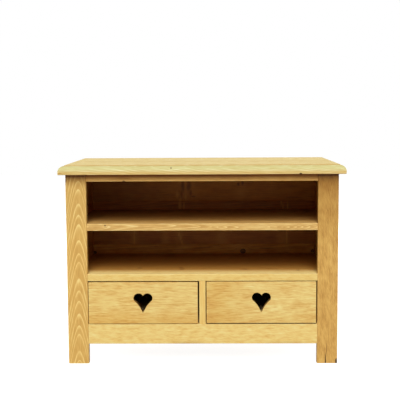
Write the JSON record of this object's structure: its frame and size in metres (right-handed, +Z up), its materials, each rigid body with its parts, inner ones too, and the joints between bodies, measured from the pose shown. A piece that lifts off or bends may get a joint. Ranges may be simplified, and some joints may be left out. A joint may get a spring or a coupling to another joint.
{
  "type": "tv stand",
  "caption": "Low pine TV stand with a moulded top, square legs, open shelf compartments and drawers pulled by heart-shaped finger holes.",
  "frame": {"origin": "on the floor, under the middle of the top", "axes": "+X to the right seen from the front, +Y to the back, +Z up; the drawers open towards -Y"},
  "size_m": [0.971, 0.499, 0.687],
  "materials": {
    "waxed_pine": "honey stain under satin wax",
    "aged_pine": "darkened, matte",
    "bare_pine": "planed, unfinished",
    "birch_plywood": "sanded, unfinished",
    "zinc_steel": "zinc plated"
  },
  "bodies": {
    "carcass": {"back_board_lower": "aged_pine", "back_board_middle": "aged_pine", "back_board_upper": "aged_pine", "back_rail_bottom": "aged_pine", "bottom_rail_front": "waxed_pine", "cleat_screws": "zinc_steel", "drawer_divider": "waxed_pine", "drawer_guide_centre": "bare_pine", "drawer_guide_left": "bare_pine", "drawer_guide_right": "bare_pine", "drawer_runner_centre": "bare_pine", "drawer_runner_left": "bare_pine", "drawer_runner_right": "bare_pine", "leg_front_left": "waxed_pine", "leg_front_right": "waxed_pine", "leg_rear_left": "waxed_pine", "leg_rear_right": "waxed_pine", "leg_return_left": "waxed_pine", "leg_return_right": "waxed_pine", "lower_cleat_left": "bare_pine", "lower_cleat_right": "bare_pine", "shelf_cleat_left": "bare_pine", "shelf_cleat_right": "bare_pine", "shelf_lower": "waxed_pine", "shelf_upper": "waxed_pine", "side_left_bottom": "waxed_pine", "side_left_lower": "waxed_pine", "side_left_top": "waxed_pine", "side_left_upper": "waxed_pine", "side_right_bottom": "waxed_pine", "side_right_lower": "waxed_pine", "side_right_top": "waxed_pine", "side_right_upper": "waxed_pine", "top_cleat_left": "bare_pine", "top_cleat_right": "bare_pine", "top_panel": "waxed_pine", "top_rail_front": "waxed_pine", "top_rail_rear": "aged_pine", "top_screws": "zinc_steel"},
    "drawer_left": {"drawer_left_back": "bare_pine", "drawer_left_bottom": "birch_plywood", "drawer_left_front": "waxed_pine", "drawer_left_nails": "zinc_steel", "drawer_left_side_left": "bare_pine", "drawer_left_side_right": "bare_pine"},
    "drawer_right": {"drawer_right_back": "bare_pine", "drawer_right_bottom": "birch_plywood", "drawer_right_front": "waxed_pine", "drawer_right_nails": "zinc_steel", "drawer_right_side_left": "bare_pine", "drawer_right_side_right": "bare_pine"}
  },
  "joints": [
    {"name": "drawer_left_slide", "type": "slide", "parent": "carcass", "child": "drawer_left", "axis": [0, -1, 0], "range_m": [0, 0.3]},
    {"name": "drawer_right_slide", "type": "slide", "parent": "carcass", "child": "drawer_right", "axis": [0, -1, 0], "range_m": [0, 0.3]}
  ]
}
